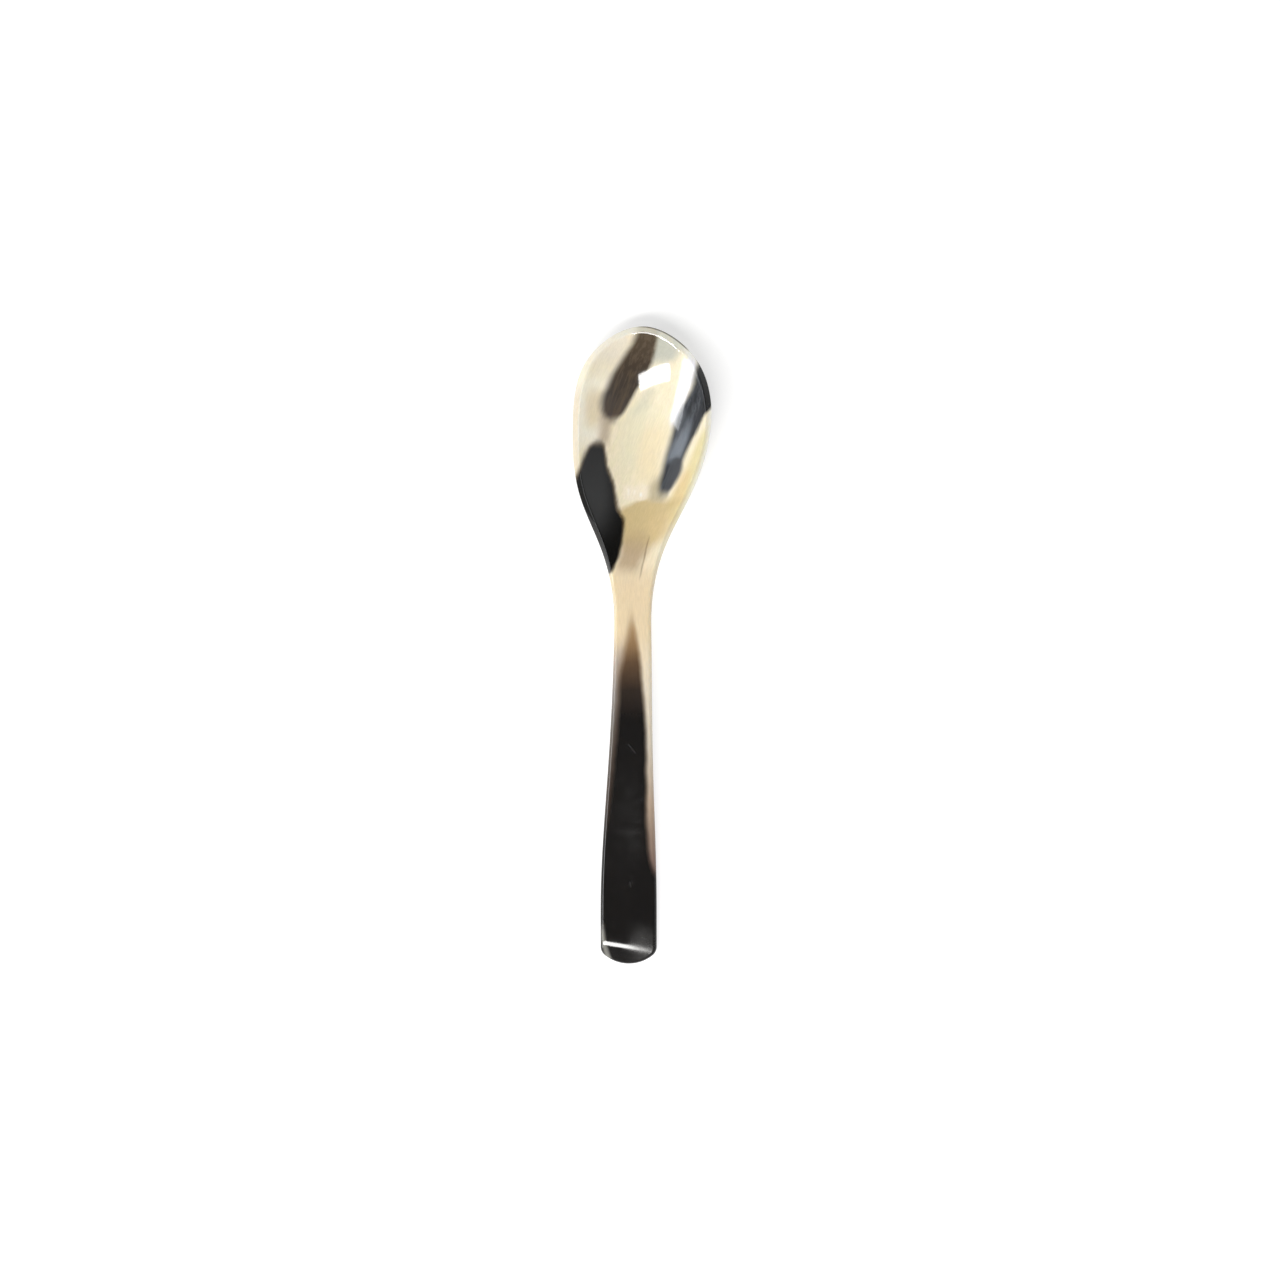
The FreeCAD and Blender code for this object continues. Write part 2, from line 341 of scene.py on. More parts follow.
def edge_sections(places, inward):
    """Section of the edge at each place, as (distance inward, height) from upper face to lower face."""
    y = places[:, 1]
    round_tip = eased(-FACET_TURN[0], 0.0, -FACET_TURN[1], 1.0, -inward[:, 1])
    at_tip = round_tip * eased(FLANK_Y, 0.0, WIDEST_Y, 1.0, y)
    band = eased(NECK_Y, 0.0, FLANK_Y, RIM_BAND, y) + RIM_FACET_INSET * at_tip
    inner = places + inward * band[:, None]
    top_z = upper_height(*inner.T)
    low_z = lower_height(*places.T)
    top = np.stack([band, top_z], 1)
    low = np.stack([np.zeros(len(y)), low_z], 1)
    next_top = inner + inward * SLOPE_STEP
    next_low = places + inward * SLOPE_STEP
    along = np.full(len(y), SLOPE_STEP)
    along_top = unit(np.stack([along, upper_height(*next_top.T) - top_z], 1))
    along_low = unit(np.stack([along, lower_height(*next_low.T) - low_z], 1))
    wall = unit(top - low)
    upper_radius = eased(NECK_Y, HANDLE_UPPER_RADIUS, SHOULDER_Y, RIM_INNER_RADIUS, y)
    upper_arc = rounding(top, -wall, along_top, upper_radius, RIM_FACET_WIDTH * at_tip)
    lower_arc = rounding(low, wall, along_low, np.full(len(y), LOWER_EDGE), np.zeros(len(y)))
    return np.concatenate([upper_arc[:, ::-1], lower_arc], 1)


def spoon_points():
    """Rings of points from the middle of the upper face out over the edge to the middle of the lower face.

    With them come each point's share in the rim band and its distance inward from the outline.
    """
    places, inward, hubs = ring_of_places()
    section = edge_sections(places, inward)
    rings = []
    for column in range(section.shape[1]):
        plan = places + inward * section[:, column, :1]
        rings.append(np.column_stack([plan, section[:, column, 1]]))
    first = rings[0][:, :2]
    last = rings[-1][:, :2]
    upper = []
    lower = []
    for number in range(1, FACE_STEPS + 1):
        share = (number / FACE_STEPS) ** FACE_EASING
        plan = first + (hubs - first) * share
        upper.append(np.column_stack([plan, upper_height(*plan.T)]))
        plan = last + (hubs - last) * share
        lower.append(np.column_stack([plan, lower_height(*plan.T)]))
    rings = upper[::-1] + rings + lower
    band_share = np.concatenate([
        np.zeros(FACE_STEPS),
        np.linspace(0.0, 1.0, ARC_STEPS + 1),
        np.linspace(1.0, 0.0, ARC_STEPS + 1),
        np.zeros(FACE_STEPS),
    ])
    share_of_band = eased(NECK_Y, 0.0, SHOULDER_Y, 1.0, places[:, 1])
    edge_distance = [np.hypot(*(ring[:, :2] - places).T) for ring in rings]
    return rings, np.outer(band_share, share_of_band).ravel(), np.concatenate(edge_distance)


# Points closer than this, in metres, are merged, and thinner faces are dissolved
MERGE_DISTANCE = 0.00001
THINNEST_FACE = 0.000001


def spoon_mesh():
    """The closed mesh of the spoon; the inmost rings are merged along the middle line."""
    rings, band, edge_distance = spoon_points()
    count = len(rings[0])
    points = np.concatenate(rings)
    low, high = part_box("spoon")
    points[:, 2] += low.z / MM - points[:, 2].min()
    faces = []
    for ring in range(len(rings) - 1):
        for i in range(count):
            j = (i + 1) % count
            faces.append((ring * count + i, (ring + 1) * count + i, (ring + 1) * count + j, ring * count + j))
    mesh = bpy.data.meshes.new("horn_spoon")
    mesh.from_pydata([tuple(point * MM) for point in points], [], faces)
    for name, values in (("rim_band", band), ("edge_distance", edge_distance)):
        mesh.attributes.new(name, "FLOAT", "POINT").data.foreach_set("value", values.astype(np.float32))
    work = bmesh.new()
    work.from_mesh(mesh)
    bmesh.ops.remove_doubles(work, verts=work.verts, dist=MERGE_DISTANCE)
    bmesh.ops.dissolve_degenerate(work, edges=work.edges, dist=THINNEST_FACE)
    bmesh.ops.recalc_face_normals(work, faces=work.faces)
    for face in work.faces:
        face.smooth = True
    work.to_mesh(mesh)
    work.free()
    return mesh


spoon = bpy.data.objects.new("horn_spoon", spoon_mesh())
bpy.context.scene.collection.objects.link(spoon)
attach(spoon, "root")
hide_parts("spoon")


# Node helpers
class Nodes:
    """Adds nodes to an emptied tree; every method but new and put returns output sockets."""

    def __init__(self, tree):
        self.tree = tree
        tree.nodes.clear()

    def new(self, kind):
        """The new node itself."""
        return self.tree.nodes.new(kind)

    def put(self, socket, value):
        """Links the socket to an output socket, or sets it to a plain value."""
        if isinstance(value, bpy.types.NodeSocket):
            self.tree.links.new(value, socket)
        else:
            socket.default_value = value

    def math(self, operation, first, second=0.0):
        node = self.new("ShaderNodeMath")
        node.operation = operation
        self.put(node.inputs[0], first)
        self.put(node.inputs[1], second)
        return node.outputs[0]

    def times(self, *factors):
        """Product of all the factors."""
        product = factors[0]
        for factor in factors[1:]:
            product = self.math("MULTIPLY", product, factor)
        return product

    def ramp(self, value, low, high, to_low=0.0, to_high=1.0):
        """A soft step from to_low at low to to_high at high."""
        node = self.new("ShaderNodeMapRange")
        node.interpolation_type = "SMOOTHSTEP"
        self.put(node.inputs["Value"], value)
        self.put(node.inputs["From Min"], low)
        self.put(node.inputs["From Max"], high)
        self.put(node.inputs["To Min"], to_low)
        self.put(node.inputs["To Max"], to_high)
        return node.outputs[0]

    def row_ramp(self, y, rows, to_low=0.0, to_high=1.0):
        """A soft step between two rows of the photograph."""
        return self.ramp(y, photo_y(rows[0]), photo_y(rows[1]), to_low, to_high)

    def column_ramp(self, x, columns, to_low=0.0, to_high=1.0):
        """A soft step between two columns of the photograph."""
        return self.ramp(x, photo_x(columns[0]), photo_x(columns[1]), to_low, to_high)

    def mix(self, factor, first, second):
        node = self.new("ShaderNodeMix")
        node.data_type = "RGBA"
        self.put(node.inputs["Factor"], factor)
        self.put(node.inputs[6], first)
        self.put(node.inputs[7], second)
        return node.outputs[2]

    def tones(self, value, stops):
        """A colour along a value, through (mark, colour) stops."""
        stops = sorted(stops)
        low = stops[0][0]
        high = stops[-1][0]
        share = self.ramp(value, low, high)
        share.node.interpolation_type = "LINEAR"
        node = self.new("ShaderNodeValToRGB")
        bar = node.color_ramp.elements
        while len(bar) < len(stops):
            bar.new(0.5)
        for element, (mark, color) in zip(bar, stops):
            element.position = (mark - low) / (high - low)
            element.color = color
        self.put(node.inputs[0], share)
        return node.outputs[0]

    def noise(self, vector, scale, detail, roughness):
        node = self.new("ShaderNodeTexNoise")
        self.put(node.inputs["Vector"], vector)
        node.inputs["Scale"].default_value = scale
        node.inputs["Detail"].default_value = detail
        node.inputs["Roughness"].default_value = roughness
        return node.outputs["Fac"]

    def vector(self, x, y, z):
        node = self.new("ShaderNodeCombineXYZ")
        self.put(node.inputs[0], x)
        self.put(node.inputs[1], y)
        self.put(node.inputs[2], z)
        return node.outputs[0]

    def parts(self, vector):
        """The three parts of a vector."""
        node = self.new("ShaderNodeSeparateXYZ")
        self.put(node.inputs[0], vector)
        return node.outputs[0], node.outputs[1], node.outputs[2]

    def place(self, kind):
        """Texture coordinates of one kind."""
        return self.new("ShaderNodeTexCoord").outputs[kind]

    def attribute(self, name):
        """A number kept at the points of the mesh."""
        node = self.new("ShaderNodeAttribute")
        node.attribute_name = name
        return node.outputs["Fac"]

    def wandered(self, value, noise, reach):
        """A value moved to and fro by a noise, over a whole reach."""
        return self.math("ADD", value, self.times(self.math("SUBTRACT", noise, 0.5), reach))

    def curve(self, value, points):
        """A smooth function of value in millimetres through (value, result) points in millimetres."""
        points = sorted(points)
        low = points[0][0]
        high = points[-1][0]
        results = [result for at, result in points]
        least = min(results) - 1.0
        most = max(results) + 1.0
        share = self.ramp(value, low, high)
        share.node.interpolation_type = "LINEAR"
        node = self.new("ShaderNodeFloatCurve")
        mapping = node.mapping
        handles = mapping.curves[0].points
        placed = [((at - low) / (high - low), (result - least) / (most - least)) for at, result in points]
        while len(handles) < len(placed):
            handles.new(0.5, 0.5)
        for handle, spot in zip(handles, placed):
            handle.location = spot
        mapping.update()
        self.put(node.inputs["Value"], share)
        return self.math("ADD", self.times(node.outputs[0], most - least), least)


# Surroundings: white walls, brighter on the far side and dark overhead
NEAR_WALL_LIGHT = 0.30
FAR_WALL_LIGHT = 0.90
OVERHEAD_LIGHT = 0.06
FAR_WALL = (0.1, 0.995, 0.0)
# Between these parts of the direction, along FAR_WALL and upwards, one light gives way to the next
FAR_WALL_FADE = (-0.1, 0.7)
OVERHEAD_FADE = (0.55, 0.88)
WALL_TINT = (0.97, 0.985, 1.0, 1.0)
WHITE = (1.0, 1.0, 1.0, 1.0)


def studio_world():
    """The walls for all but the camera, which sees plain white."""
    world = bpy.data.worlds.new("studio")
    bpy.context.scene.world = world
    world.use_nodes = True
    nodes = Nodes(world.node_tree)
    direction = nodes.place("Generated")
    far = nodes.new("ShaderNodeVectorMath")
    far.operation = "DOT_PRODUCT"
    nodes.put(far.inputs[0], direction)
    far.inputs[1].default_value = FAR_WALL
    wall_light = nodes.ramp(far.outputs["Value"], *FAR_WALL_FADE, NEAR_WALL_LIGHT, FAR_WALL_LIGHT)
    up = nodes.parts(direction)[2]
    walls = nodes.new("ShaderNodeBackground")
    walls.inputs["Color"].default_value = WALL_TINT
    nodes.put(walls.inputs["Strength"], nodes.ramp(up, *OVERHEAD_FADE, wall_light, OVERHEAD_LIGHT))
    white = nodes.new("ShaderNodeBackground")
    white.inputs["Color"].default_value = WHITE
    mix = nodes.new("ShaderNodeMixShader")
    nodes.put(mix.inputs[0], nodes.new("ShaderNodeLightPath").outputs["Is Camera Ray"])
    nodes.put(mix.inputs[1], walls.outputs[0])
    nodes.put(mix.inputs[2], white.outputs[0])
    nodes.put(nodes.new("ShaderNodeOutputWorld").inputs["Surface"], mix.outputs[0])


# Lamps, in metres, standing where the bright patches in the bowl mirror them
BOWL_AIM = Vector((0.0, 0.05, 0.0))
LAMP_DISTANCE = 8.0
# Name, direction from the bowl, direction of the long side, length, height, radiance and colour
LAMPS = (
    ("window", (-0.27, -0.460, 0.845), (-0.94, -0.087, -0.33), 5.9, 1.55, 19.0, (1.0, 0.99, 0.97)),
    ("side_panel", (-0.787, -0.268, 0.557), (0.13, 0.807, 0.576), 5.9, 1.7, 5.5, (0.95, 0.97, 1.0)),
)


def softbox(name, toward, long_side, length, height, radiance, color):
    """A rectangular lamp of a given radiance, seen from the bowl in a given direction."""
    lamp = bpy.data.lights.new(name, "AREA")
    lamp.shape = "RECTANGLE"
    lamp.size = length
    lamp.size_y = height
    lamp.energy = radiance * math.pi * length * height
    lamp.color = color
    thing = bpy.data.objects.new(name, lamp)
    back = Vector(toward).normalized()
    side = (Vector(long_side) - back * back.dot(Vector(long_side))).normalized()
    turn = Matrix((side, back.cross(side), back)).transposed().to_4x4()
    thing.matrix_world = Matrix.Translation(BOWL_AIM + back * LAMP_DISTANCE) @ turn
    bpy.context.scene.collection.objects.link(thing)


studio_world()
for lamp_row in LAMPS:
    softbox(*lamp_row)

# Floor: pale, keeps the soft shadow, and glows as far as a white table does
FLOOR_SIDE = 12.0
FLOOR_COLOR = (0.48, 0.48, 0.48, 1.0)
# The glow is stronger beside the handle than round the bowl, and weaker where it is mirrored
FLOOR_LIFT = 0.56
HANDLE_FLOOR_LIFT = 0.72
LIFT_ROWS = (360, 560)
MIRRORED_FLOOR = 0.4


def floor_material():
    material = bpy.data.materials.new("floor")
    material.use_nodes = True
    nodes = Nodes(material.node_tree)
    diffuse = nodes.new("ShaderNodeBsdfDiffuse")
    diffuse.inputs["Color"].default_value = FLOOR_COLOR
    y = nodes.math("DIVIDE", nodes.parts(nodes.place("Object"))[1], MM)
    lift = nodes.row_ramp(y, LIFT_ROWS, FLOOR_LIFT, HANDLE_FLOOR_LIFT)
    mirrored = nodes.new("ShaderNodeLightPath").outputs["Is Glossy Ray"]
    share = nodes.math("ADD", nodes.times(mirrored, MIRRORED_FLOOR - 1.0), 1.0)
    glow = nodes.new("ShaderNodeEmission")
    nodes.put(glow.inputs["Strength"], nodes.times(lift, share))
    add = nodes.new("ShaderNodeAddShader")
    nodes.put(add.inputs[0], diffuse.outputs[0])
    nodes.put(add.inputs[1], glow.outputs[0])
    nodes.put(nodes.new("ShaderNodeOutputMaterial").inputs["Surface"], add.outputs[0])
    return material


half_side = FLOOR_SIDE / 2
floor_corners = [
    (-half_side, -half_side, 0),
    (half_side, -half_side, 0),
    (half_side, half_side, 0),
    (-half_side, half_side, 0),
]
floor_mesh = bpy.data.meshes.new("floor")
floor_mesh.from_pydata(floor_corners, [], [(0, 1, 2, 3)])
floor = bpy.data.objects.new("floor", floor_mesh)
floor.data.materials.append(floor_material())
bpy.context.scene.collection.objects.link(floor)

# Grain of the horn: noises as (scale, detail, roughness), drawn out along the spoon by their stretch
STRAND_NOISE = (0.85, 3.0, 0.6)
STRAND_STRETCH = 0.07
FINE_NOISE = (2.4, 2.0, 0.6)
FINE_STRETCH = 0.12
SLOW_NOISE = (0.11, 2.0, 0.5)
WEAR_NOISE = (0.35, 4.0, 0.65)
# The grain leans with the streaks in the bowl and runs straight along the handle
LEAN_FROM_Y = 25.0
LEAN = 0.36
# How far the noises move the edges of patches to and fro, in millimetres
SLOW_REACH_ACROSS = 1.6
SLOW_REACH_ALONG = 3.0
STRAND_REACH = 0.8
HANDLE_REACH = 0.9

# Screen colours of the horn's ground, and where it changes
PALE_HORN = ((240, 231, 203), (245, 234, 210))
PALE_STRANDS = (0.40, 0.62)
NECK_HORN = (231, 213, 179)
NECK_ROWS = (545, 590)
DARK_HORN = (15, 14, 12)

# Patches: rows as (row, left, right) in photograph pixels, softness at (left, right) and at (top, low)
# Marks are patches with a strength and a screen colour
# Besides marks of the horn, some rows here are painted light: painted reflections, painted sparkles and
# painted shade
PALE_MARKS_AND_PAINTED_LIGHT = (
    # Pale horn field at the left of the bowl, painted lighter to offset the shade on that inner wall; the
    # duller field above it and its own darker middle
    (((374, 585, 616), (400, 576, 612), (450, 574, 600)), (3.0, 3.0), (5.0, 6.0), 0.9, (255, 248, 234)),
    (((318, 590, 640), (345, 588, 628), (366, 582, 618)), (3.0, 3.0), (3.0, 5.0), 0.9, (234, 226, 210)),
    (((390, 588, 606), (410, 586, 602), (425, 586, 600)), (2.0, 2.0), (3.0, 3.0), 0.7, (228, 214, 181)),
    # Greenish and warm fields in the middle
    (((405, 630, 655), (430, 622, 645), (470, 618, 636)), (3.0, 3.0), (3.0, 5.0), 0.7, (234, 229, 203)),
    (((425, 645, 668), (450, 638, 662), (480, 636, 656)), (3.0, 2.5), (4.0, 5.0), 0.7, (241, 226, 192)),
    # Grey-green and a painted white reflection to the right of the brown streak, and a paler grey-green lower
    # down
    (((326, 657, 692), (345, 655, 684), (364, 648, 672)), (1.5, 3.0), (2.0, 3.5), 0.85, (186, 189, 179)),
    (((336, 676, 692), (350, 685, 698), (364, 691, 702)), (1.5, 1.2), (1.5, 2.0), 0.9, (255, 255, 252)),
    (((385, 645, 658), (400, 638, 652), (412, 630, 645)), (2.0, 2.5), (2.0, 3.0), 0.55, (212, 211, 192)),
    # Golden band at the right, and its deeper core
    (((425, 706, 722), (450, 694, 712), (480, 682, 704), (505, 668, 692), (525, 668, 684)),
     (1.2, 1.2), (5.0, 3.0), 0.8, (224, 212, 160)),
    (((470, 682, 692), (485, 676, 688), (505, 672, 684)), (1.2, 1.5), (3.0, 3.0), 0.5, (226, 196, 140)),
    # Khaki step at the low end of the bowl, partly darker horn and partly painted shade where the reflection
    # of the bright walls ends; its lighter right side and the taupe field under it
    (((499, 641, 682), (504, 631, 678), (509, 622, 675), (515, 616, 672), (532, 620, 664), (550, 622, 652)),
     (2.6, 3.0), (1.8, 4.0), 0.9, (207, 186, 136)),
    (((512, 654, 680), (525, 648, 672), (540, 646, 664)), (1.5, 1.5), (2.0, 3.0), 0.55, (220, 198, 150)),
    (((538, 623, 648), (552, 621, 646), (562, 618, 641), (571, 616, 638)),
     (1.8, 2.4), (5.0, 2.8), 0.8, (184, 160, 128)),
    # Painted reflection of the bright walls above the step, with three painted sparkles
    (((484, 622, 650), (492, 622, 648), (500, 622, 646)), (1.2, 1.2), (1.2, 0.6), 0.55, (248, 236, 220)),
    (((488, 627.5, 629.5), (495, 627, 629)), (0.4, 0.4), (0.5, 0.5), 0.7, (255, 246, 236)),
    (((489, 634, 636), (494, 633.5, 635)), (0.35, 0.35), (0.5, 0.5), 0.6, (255, 246, 236)),
    (((492, 640.2, 642), (496, 639.9, 641.7)), (0.5, 0.5), (0.8, 0.8), 1.0, (255, 255, 252)),
    # Hair line at the neck
    (((538, 648, 649.5), (560, 643, 644.8), (579, 639.2, 640)),
     (0.35, 0.35), (1.5, 1.5), 0.55, (128, 100, 76)),
    # Shades where the dark streaks fade out
    (((478, 652, 664), (490, 649, 663), (501, 649, 664)), (1.5, 1.5), (3.0, 1.2), 0.75, (184, 172, 142)),
    (((408, 600, 617), (425, 600, 611), (442, 598, 609)), (1.8, 1.2), (2.0, 2.5), 0.75, (184, 168, 144)),
    # Painted reflection along the blue-grey streak, a milky white veil
    (((350, 693, 704), (368, 685, 698), (388, 679, 691), (408, 673, 683), (424, 670, 678)),
     (1.2, 1.2), (2.5, 3.0), 0.9, (252, 251, 255)),
)

# Rim of the bowl: where the mesh's rim band begins and is whole
ON_BAND = (0.35, 0.65)
# The glow of the thin rim, by millimetres from the outline, by rows and by columns
GLOW_REACH = (2.8, 0.2)
GLOW_ROWS = (560, 500)
GLOW_COLUMNS = (660, 700)
LEFT_GLOW = 0.15
GLOW_TONE = (255, 252, 241)
# Painted shade: the rim band on the left made duller, to match the shaded wall inside it
LEFT_BAND_COLUMNS = (612, 592)
LEFT_BAND_ROWS = (372, 400)
LEFT_BAND_STRENGTH = 0.75
LEFT_BAND_PAINTED_SHADE = (220, 208, 188)
# The glassy tip with its dark outer line
GLASSY_TIP = (((318, 615, 690), (330, 615, 690), (345, 622, 684), (352, 640, 684)), (2.5, 1.5), (1.0, 1.5))
GLASSY_STRENGTH = 0.8
GLASSY_TONE = (230, 228, 214)
OUTER_LINE = (((320, 640, 690), (350, 650, 690)), (3.0, 1.5), (1.0, 1.5))
OUTER_LINE_REACH = (1.1, 0.7)
OUTER_LINE_STRENGTH = 0.95
OUTER_LINE_TONE = (66, 62, 54)

# Brown streak: how much of it stays on the rim, its colours along the rows, and its lighter strands
BROWN_STREAK = (
    (
        (310, 640, 664), (336, 635, 658), (353, 625, 654.5), (364, 618, 651), (375, 611, 645),
        (386, 606.5, 638), (397, 601.5, 632), (406, 600.5, 627), (414, 604, 621.5), (420, 608, 616),
    ),
    (1.8, 1.1),
    (0.5, 2.4),
)
BROWN_ON_RIM = 0.25
BROWN_STRENGTH = 0.98
BROWN_TONES = ((340, (74, 59, 41)), (365, (63, 51, 41)), (392, (62, 55, 51)), (415, (82, 72, 66)))
BROWN_STRANDS = (0.42, 0.62)
BROWN_STRAND_STRENGTH = 0.5
BROWN_STRAND_TONE = (98, 82, 66)

# Black patch on the left, and how far its amber fringe goes up, left and right of it in pixels
BLACK_PATCH = (
    (
        (443, 595, 602.5), (447, 590.5, 603.5), (452, 587, 604.5), (458, 584, 605.5), (467, 581, 607),
        (478, 576, 611), (488, 573, 613.5), (500, 570, 614.5), (509, 570, 616.5), (516, 572, 620),
        (523, 575, 623), (537, 583, 622.5), (548, 590, 620.5), (559, 595, 617.5), (567, 598, 613.5),
        (574, 600, 611),
    ),
    (1.2, 0.8),
    (2.2, 0.8),
)
FRINGE_GROWTH = (3, 0.5, 1.6)
FRINGE_SOFT = (1.5, 0.8)
FRINGE_ENDS = (2.2, 1.0)
FRINGE_STRENGTH = 0.85
FRINGE_TONE = (82, 61, 36)

# Blue-grey streak on the right: strands of two colours, and marks in it
BLUE_STREAK = (
    (
        (352, 699, 722), (362, 698, 724), (371, 695, 724), (386, 692, 722), (397, 686.5, 718),
        (408, 680, 711), (418, 676, 703), (429, 673, 698), (440, 670, 692), (451, 667, 687),
        (462, 664, 683), (473, 661, 680), (482, 659, 675), (494, 658, 668),
    ),
    (1.5, 1.0),
    (0.6, 2.4),
)
BLUE_STRANDS = (0.36, 0.64)
BLUE_TONES = ((58, 60, 64), (84, 87, 92))
BLUE_MARKS = (
    (((372, 703, 706), (397, 693, 697), (418, 684, 688), (440, 674, 678)),
     (0.8, 0.8), (3.0, 4.0), 0.7, (40, 41, 44)),
    (((425, 683, 692), (440, 675, 688), (452, 670, 683), (461, 667, 676)),
     (1.6, 1.4), (7.0, 2.2), 0.85, (134, 141, 150)),
    (((400, 702, 708), (425, 692, 697), (445, 686, 690), (458, 681, 685)),
     (0.7, 0.7), (4.0, 3.0), 0.6, (52, 53, 57)),
)
# Where the streak turns black towards the rim
RIM_BLACK_COLUMNS = (700, 707)
RIM_BLACK_STRENGTH = 0.95
# The darker blob at its low end
BLUE_BLOB = (
    ((455, 675, 679), (460, 671, 682), (466, 669, 682), (474, 667, 679), (484, 664, 674), (492, 663, 668)),
    (1.3, 1.1), (1.2, 2.4), 0.9, (74, 76, 80),
)

# Handle: its dark core, and colours along the rows as (row, screen colour)
HANDLE_CORE = (
    (
        (620, 631, 632.5), (635, 628.5, 635), (659, 623.5, 639), (678, 619.5, 641.5), (702, 618.5, 644),
        (718, 617.5, 645), (742, 615.5, 646), (790, 611, 646), (837, 605, 647), (862, 593, 649.5),
        (878, 588, 655), (892, 580, 664), (980, 580, 670),
    ),
    (1.4, 1.0),
    (5.0, 1.0),
)
CORE_TONES = (
    (620, (190, 158, 118)), (645, (148, 118, 85)), (662, (100, 78, 58)), (690, (52, 43, 37)),
    (720, (24, 22, 21)),
)
# Brown skin round the core, and how far it goes up, left and right of it in pixels
SKIN_GROWTH = (2, 2.5, 1.5)
SKIN_SOFT = (1.3, 0.8)
SKIN_ENDS = (5.0, 1.0)
SKIN_STRENGTH = 0.6
SKIN_TONES = ((640, (168, 138, 104)), (720, (88, 66, 50)), (860, (40, 30, 26)))
# Margins beside the core
MARGIN_ROWS = (622, 665)
MARGIN_COLUMNS = (626, 640)
LEFT_MARGIN_TONES = (
    (620, (236, 218, 184)), (650, (190, 175, 158)), (690, (146, 140, 136)), (725, (112, 108, 102)),
    (790, (84, 74, 68)), (850, (30, 28, 26)),
)
RIGHT_MARGIN_TONES = (
    (630, (236, 219, 186)), (690, (226, 216, 196)), (740, (216, 207, 190)), (800, (184, 164, 144)),
    (830, (158, 138, 122)), (862, (134, 112, 102)), (894, (26, 25, 23)),
)
# Two scratches, and a painted reflection of the left wall on the rounded corner of the handle end
HANDLE_MARKS_AND_REFLECTION = (
    (((744, 627.4, 628.8), (753, 634.4, 635.8)), (0.3, 0.3), (0.4, 0.4), 0.4, (76, 76, 76)),
    (((883, 629.3, 630.6), (888, 630.0, 631.3)), (0.3, 0.3), (0.4, 0.4), 0.4, (76, 76, 76)),
    (((928, 601.0, 603.5), (945, 602.0, 606.0), (962, 607.0, 611.5)),
     (0.6, 0.8), (2.5, 1.0), 0.8, (150, 149, 143)),
)

# Surface of the polished horn: how the fine grain lightens it, and its roughness by wear
GRAIN_STRANDS = (0.30, 0.72)
GRAIN_LIGHT = (0.95, 1.03)
WEAR_FADE = (0.3, 0.75)
POLISH = (0.05, 0.09)
# The duller right side of the nose
WORN_ROWS = (915, 940)
WORN_COLUMNS = (618, 646)
WORN_ROUGHNESS = (0.02, 0.2)
# Relief of the grain, its height in metres, and the depth of the horn
BUMP_STRENGTH = 0.12
BUMP_HEIGHT = 0.00004
HORN_SURFACE = {
    "IOR": 1.54,
    "Specular IOR Level": 0.62,
    "Subsurface Weight": 0.35,
    "Subsurface Radius": (1.0, 0.85, 0.6),
    "Subsurface Scale": 0.004,
}


def tone(red, green, blue):
    """A linear colour from screen values of 0 to 255."""
    values = []
    for part in (red, green, blue):
        part = part / 255.0
        values.append(part / 12.92 if part <= 0.04045 else ((part + 0.055) / 1.055) ** 2.4)
    return (values[0], values[1], values[2], 1.0)


def grown(rows, growth):
    """The rows of a patch moved up and widened to the left and right."""
    up, leftward, rightward = growth
    return tuple((row - up, left - leftward, right + rightward) for row, left, right in rows)


class Horn:
    """The places and noises that all the horn's patterns share, in millimetres, and ways to lay them on."""

    def __init__(self, nodes):
        self.nodes = nodes
        metres = nodes.parts(nodes.place("Object"))
        self.x, self.y, self.z = [nodes.math("DIVIDE", part, MM) for part in metres]
        past_neck = nodes.math("MAXIMUM", nodes.math("SUBTRACT", self.y, LEAN_FROM_Y), 0.0)
        across = nodes.math("SUBTRACT", self.x, nodes.times(past_neck, LEAN))
        self.strands = self.grain(across, STRAND_STRETCH, STRAND_NOISE)
        self.fine_grain = self.grain(across, FINE_STRETCH, FINE_NOISE)
        self.slow = self.grain(self.x, 1.0, SLOW_NOISE)
        slow_x = nodes.wandered(self.x, self.slow, SLOW_REACH_ACROSS)
        self.bowl_x = nodes.wandered(slow_x, self.strands, STRAND_REACH)
        self.handle_x = nodes.wandered(self.x, self.slow, HANDLE_REACH)
        self.moved_y = nodes.wandered(self.y, self.slow, SLOW_REACH_ALONG)
        self.on_band = nodes.ramp(nodes.attribute("rim_band"), *ON_BAND)
        self.from_edge = nodes.attribute("edge_distance")

    def grain(self, across, stretch, noise):
        """A noise stretched along the spoon."""
        nodes = self.nodes
        return nodes.noise(nodes.vector(across, nodes.times(self.y, stretch), self.z), *noise)

    def patch(self, x, y, rows, soft, ends):
        """Mask of a patch, from its rows and how soft its sides and ends are."""
        nodes = self.nodes
        left = nodes.curve(y, [(photo_y(row), photo_x(first)) for row, first, second in rows])
        right = nodes.curve(y, [(photo_y(row), photo_x(second)) for row, first, second in rows])
        top_row = min(row for row, first, second in rows)
        low_row = max(row for row, first, second in rows)
        return nodes.times(
            nodes.ramp(nodes.math("SUBTRACT", x, left), -soft[0], soft[0]),
            nodes.ramp(nodes.math("SUBTRACT", right, x), -soft[1], soft[1]),
            nodes.ramp(nodes.math("SUBTRACT", photo_y(top_row), y), -ends[0], ends[0]),
            nodes.ramp(nodes.math("SUBTRACT", y, photo_y(low_row)), -ends[1], ends[1]),
        )

    def bowl_patch(self, rows, soft, ends):
        """Mask of a patch in the bowl, its edges moved by the slow noise and the strands."""
        return self.patch(self.bowl_x, self.moved_y, rows, soft, ends)

    def marked(self, color, x, y, marks):
        """The colour with marks laid over it in turn."""
        nodes = self.nodes
        for rows, soft, ends, strength, shade in marks:
            mask = self.patch(x, y, rows, soft, ends)
            color = nodes.mix(nodes.times(mask, strength), color, tone(*shade))
        return color

    def along_rows(self, stops):
        """A colour along the rows of the photograph."""
        return self.nodes.tones(self.y, [(photo_y(row), tone(*color)) for row, color in stops])


